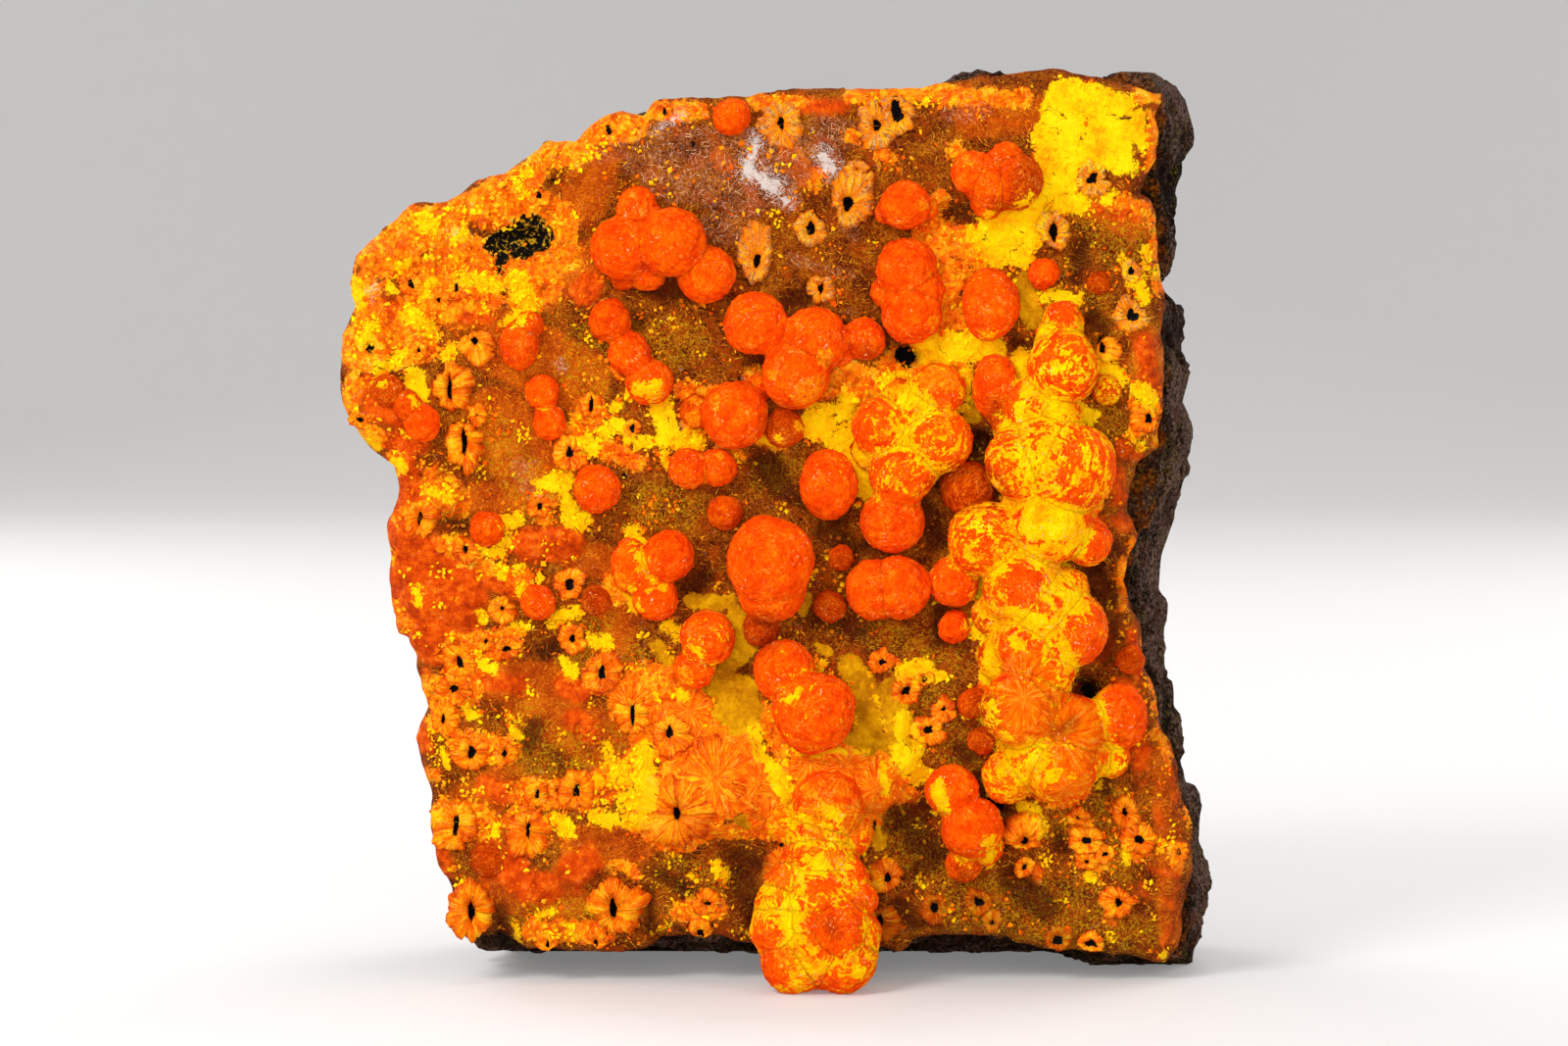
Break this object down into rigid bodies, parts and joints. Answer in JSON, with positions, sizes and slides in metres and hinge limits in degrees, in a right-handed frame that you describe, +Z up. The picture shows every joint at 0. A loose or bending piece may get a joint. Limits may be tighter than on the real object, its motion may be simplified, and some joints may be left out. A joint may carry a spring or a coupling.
{
  "type": "francevillite with curienite mineral specimen",
  "caption": "Slab of dark sandstone matrix with a drusy brown and yellow crust, orange spherules and hollow-cored rosettes on its front.",
  "frame": {"origin": "centre of the bottom of the bounding box", "axes": "-Y is the crystal-covered front, +X to the viewer's right, +Z up"},
  "size_m": [0.045, 0.023, 0.0468],
  "materials": {
    "matrix": "rough broken dark grey-brown sandstone with lighter rims and yellow-green specks",
    "crust": "drusy felt of tiny brown-orange blades with bright yellow powdery patches",
    "spherule": "velvety saturated orange-red balls of radiating micro-crystals, dull",
    "mass": "orange spherules grown together under a mottled yellow velvety coating, dull",
    "rosette": "radial orange and yellow blades with pale streaks around a black core, dull"
  },
  "bodies": {
    "root": {"matrix": "matrix", "crust": "crust", "spherules_top_left": "spherule", "spherules_upper_left": "spherule", "spherule_top_edge": "spherule", "spherule_upper_centre": "spherule", "spherules_upper_right": "spherule", "spherule_column": "spherule", "spherules_centre": "spherule", "spherules_centre_left": "spherule", "spherule_low_middle": "spherule", "spherules_small_pair": "spherule", "spherule_oval": "spherule", "spherules_flecked": "spherule", "spherules_centre_right": "spherule", "spherule_above_largest": "spherule", "spherule_largest": "spherule", "spherules_left_centre": "spherule", "spherule_low_centre": "spherule", "spherules_lower_left": "spherule", "spherules_lower_centre": "spherule", "spherule_right_upper": "spherule", "spherule_below_rosette": "spherule", "spherule_mass_right": "mass", "spherule_beside_mass": "spherule", "spherules_lower_right": "spherule", "spherule_left_upper": "spherule", "spherules_left_pair": "spherule", "spherule_left_middle": "spherule", "spherule_left_edge": "spherule", "spherules_left_small": "spherule", "spherule_left_low": "spherule", "lobe_front": "mass", "rosette_top_twin": "rosette", "rosette_upper_centre": "rosette", "rosette_elongated": "rosette", "rosette_right_of_yellow": "rosette", "rosette_left_upper": "rosette", "rosette_left_middle": "rosette", "rosette_foot_left": "rosette", "rosette_foot_large": "rosette", "rosette_tube": "rosette"}
  },
  "joints": []
}
